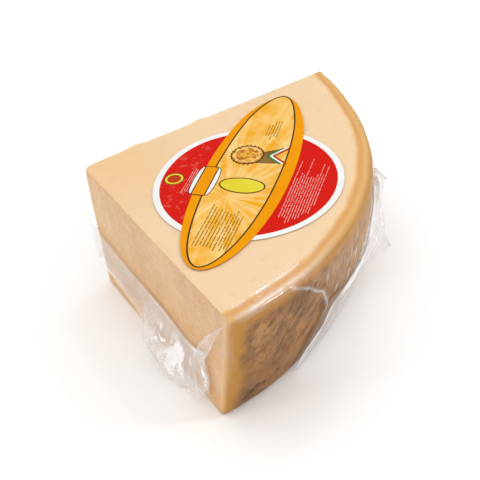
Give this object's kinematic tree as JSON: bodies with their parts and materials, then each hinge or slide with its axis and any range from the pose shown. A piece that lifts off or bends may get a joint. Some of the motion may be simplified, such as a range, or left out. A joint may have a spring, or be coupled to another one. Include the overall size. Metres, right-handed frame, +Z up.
{
  "type": "vacuum-packed cheese wedge",
  "caption": "Quarter sector of a halved hard-cheese wheel, vacuum packed in a clear welded pouch with plain round and oval labels on its top face.",
  "frame": {"origin": "centre of the footprint of wedge and pouch, on the surface the wedge rests on", "axes": "+Z up; the front cut face looks along -Y, the rear cut face along -X, the rind towards +X and +Y"},
  "size_m": [0.2218, 0.2342, 0.1155],
  "materials": {
    "cheese": "satin",
    "clear_film": "gloss",
    "red_label": "satin",
    "amber_label": "satin"
  },
  "bodies": {
    "root": {"cheese": "cheese", "upper_film": "clear_film", "lower_film": "clear_film", "front_seal_flap": "clear_film", "rind_seal_flap": "clear_film", "rear_seal_flap": "clear_film", "round_label": "red_label", "oval_label": "amber_label"}
  },
  "joints": []
}
